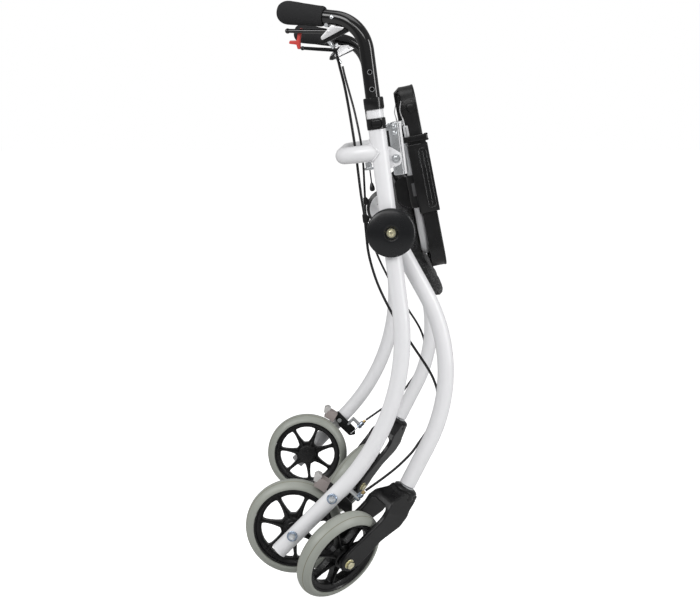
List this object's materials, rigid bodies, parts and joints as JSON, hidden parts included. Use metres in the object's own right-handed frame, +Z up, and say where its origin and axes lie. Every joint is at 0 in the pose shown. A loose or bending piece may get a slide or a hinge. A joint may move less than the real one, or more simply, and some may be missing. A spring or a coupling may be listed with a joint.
{
  "type": "indoor rollator",
  "caption": "Indoor rollator folded upright: white bent-tube frame, swivelling front casters, height-adjustable black handles with brake levers, serving tray and mesh bag.",
  "frame": {"origin": "centre of the bounding box, on the floor", "axes": "+Z up, +X forward, from the handles towards the tray; the right side is at -Y"},
  "size_m": [0.3197, 0.5994, 0.9008],
  "materials": {
    "white_paint": "gloss",
    "black_paint": "gloss",
    "zinc": "satin",
    "yellow_zinc": "satin",
    "black_plastic": "satin",
    "foam": "matte",
    "tyre_grey": "matte",
    "shoe_rubber": "matte",
    "red_plastic": "gloss",
    "mesh_fabric": "woven mesh",
    "cable_jacket": "satin"
  },
  "bodies": {
    "frame": {"cross_bow": "white_paint", "bow_screw": "zinc", "side_tube_right": "white_paint", "side_tube_left": "white_paint", "height_collar_right": "black_plastic", "height_collar_left": "black_plastic", "hub_cover_right": "black_plastic", "hub_cover_left": "black_plastic", "hub_bolt_right": "yellow_zinc", "hub_bolt_left": "yellow_zinc", "rear_axle_bolt_right": "zinc", "rear_axle_bolt_left": "zinc", "brake_arm_bolt_right": "zinc", "brake_arm_bolt_left": "zinc", "cable_stop_right": "zinc", "cable_stop_left": "zinc", "brake_cable_right": "cable_jacket", "brake_cable_left": "cable_jacket", "tray_pivot_bolt_right": "zinc", "tray_pivot_bolt_left": "zinc"},
    "front_legs": {"hub_cross_tube": "black_paint", "front_leg_right": "white_paint", "front_leg_left": "white_paint", "stem_bolt_right": "zinc", "stem_bolt_left": "zinc"},
    "caster_right": {"caster_fork_right": "black_plastic", "caster_bolt_right": "yellow_zinc"},
    "front_wheel_right": {"front_right_tyre": "tyre_grey", "front_right_rim": "black_plastic"},
    "rear_wheel_right": {"rear_right_tyre": "tyre_grey", "rear_right_rim": "black_plastic"},
    "handle_right": {"handle_tube_right": "black_paint", "grip_right": "foam", "lever_bracket_right": "black_paint", "lever_cheeks_right": "zinc"},
    "brake_lever_right": {"brake_lever_right": "black_paint"},
    "brake_arm_right": {"brake_arm_right": "black_paint", "brake_shoe_right": "shoe_rubber"},
    "height_button_right": {"height_button_right": "black_plastic"},
    "caster_left": {"caster_fork_left": "black_plastic", "caster_bolt_left": "yellow_zinc"},
    "front_wheel_left": {"front_left_tyre": "tyre_grey", "front_left_rim": "black_plastic"},
    "rear_wheel_left": {"rear_left_tyre": "tyre_grey", "rear_left_rim": "black_plastic"},
    "handle_left": {"handle_tube_left": "black_paint", "grip_left": "foam", "lever_bracket_left": "black_paint", "lever_cheeks_left": "zinc"},
    "brake_lever_left": {"brake_lever_left": "black_paint"},
    "brake_arm_left": {"brake_arm_left": "black_paint", "brake_shoe_left": "shoe_rubber"},
    "height_button_left": {"height_button_left": "black_plastic"},
    "parking_catch": {"parking_catch": "red_plastic"},
    "fold_pull": {"fold_pull": "black_plastic"},
    "tray": {"serving_tray": "black_plastic", "tray_frame": "zinc", "tray_clip_right": "black_plastic", "tray_clip_left": "black_plastic"},
    "bag": {"bag": "mesh_fabric"}
  },
  "joints": [
    {"name": "fold_hinge", "type": "hinge", "parent": "frame", "child": "front_legs", "pos_m": [0.0626, 0.0235, 0.5656], "axis": [0, -1, 0], "range_deg": [0, 29.5]},
    {"name": "caster_swivel_right", "type": "hinge", "parent": "front_legs", "child": "caster_right", "pos_m": [0.0894, -0.1965, 0.1699], "axis": [0.5075, 0, 0.8616], "range_deg": [-4, 256]},
    {"name": "front_wheel_spin_right", "type": "hinge", "parent": "caster_right", "child": "front_wheel_right", "pos_m": [-0.01411, -0.24038, 0.07767], "axis": [-0.6198, 0.6947, 0.3651], "continuous": true},
    {"name": "rear_wheel_spin_right", "type": "hinge", "parent": "frame", "child": "rear_wheel_right", "pos_m": [-0.0849, -0.1905, 0.1048], "axis": [0, 1, 0], "continuous": true},
    {"name": "handle_height_right", "type": "slide", "parent": "frame", "child": "handle_right", "axis": [-0.1323, 0, 0.9912], "range_m": [-0.05, 0.075], "deforming": ["brake_cable_right"]},
    {"name": "brake_lever_squeeze_right", "type": "hinge", "parent": "handle_right", "child": "brake_lever_right", "pos_m": [-0.02621, -0.20872, 0.85501], "axis": [0.339, 0.9397, 0.0452], "range_deg": [0, 4], "stiffness_Nm_per_rad": 1, "springref_deg": -5.73},
    {"name": "brake_arm_press_right", "type": "hinge", "parent": "frame", "child": "brake_arm_right", "pos_m": [-0.0244, 0.0235, 0.1636], "axis": [0, -1, 0], "range_deg": [0, 3.2]},
    {"name": "height_button_press_right", "type": "slide", "parent": "frame", "child": "height_button_right", "axis": [0, 1, 0], "range_m": [0, 0.002], "stiffness_N_per_m": 200, "springref_m": -0.003},
    {"name": "caster_swivel_left", "type": "hinge", "parent": "front_legs", "child": "caster_left", "pos_m": [0.0894, 0.2435, 0.1699], "axis": [0.5075, 0, 0.8616], "range_deg": [-8, 246]},
    {"name": "front_wheel_spin_left", "type": "hinge", "parent": "caster_left", "child": "front_wheel_left", "pos_m": [0.00019, 0.18821, 0.06925], "axis": [-0.7809, 0.4226, 0.46], "continuous": true},
    {"name": "rear_wheel_spin_left", "type": "hinge", "parent": "frame", "child": "rear_wheel_left", "pos_m": [-0.0849, 0.2375, 0.1048], "axis": [0, 1, 0], "continuous": true},
    {"name": "handle_height_left", "type": "slide", "parent": "frame", "child": "handle_left", "axis": [-0.1323, 0, 0.9912], "range_m": [-0.05, 0.075], "deforming": ["brake_cable_left"]},
    {"name": "brake_lever_squeeze_left", "type": "hinge", "parent": "handle_left", "child": "brake_lever_left", "pos_m": [-0.02621, 0.25572, 0.85501], "axis": [-0.339, 0.9397, -0.0452], "range_deg": [0, 4], "stiffness_Nm_per_rad": 1, "springref_deg": -5.73},
    {"name": "brake_arm_press_left", "type": "hinge", "parent": "frame", "child": "brake_arm_left", "pos_m": [-0.0244, 0.0235, 0.1636], "axis": [0, -1, 0], "range_deg": [0, 3.2]},
    {"name": "height_button_press_left", "type": "slide", "parent": "frame", "child": "height_button_left", "axis": [0, -1, 0], "range_m": [0, 0.002], "stiffness_N_per_m": 200, "springref_m": -0.003},
    {"name": "parking_catch_flip", "type": "hinge", "parent": "brake_lever_right", "child": "parking_catch", "pos_m": [-0.07225, -0.1923, 0.85896], "axis": [-0.339, -0.9397, -0.0452], "range_deg": [0, 25]},
    {"name": "fold_pull_slide", "type": "slide", "parent": "frame", "child": "fold_pull", "axis": [0.1323, 0, -0.9912], "range_m": [0, 0.008], "stiffness_N_per_m": 60, "springref_m": -0.004},
    {"name": "tray_hinge", "type": "hinge", "parent": "frame", "child": "tray", "pos_m": [0.06972, 0.0235, 0.6726], "axis": [0, -1, 0], "range_deg": [0, 78.6]},
    {"name": "bag_hang", "type": "hinge", "parent": "tray", "child": "bag", "pos_m": [0.07762, 0.0235, 0.63339], "axis": [0, -1, 0], "range_deg": [-79, 0]}
  ],
  "couplings": [
    {"joint": "brake_arm_press_right", "follows": "brake_lever_squeeze_right", "ratio": 0.75},
    {"joint": "brake_arm_press_left", "follows": "brake_lever_squeeze_left", "ratio": 0.75},
    {"joint": "bag_hang", "follows": "tray_hinge", "ratio": -1}
  ]
}
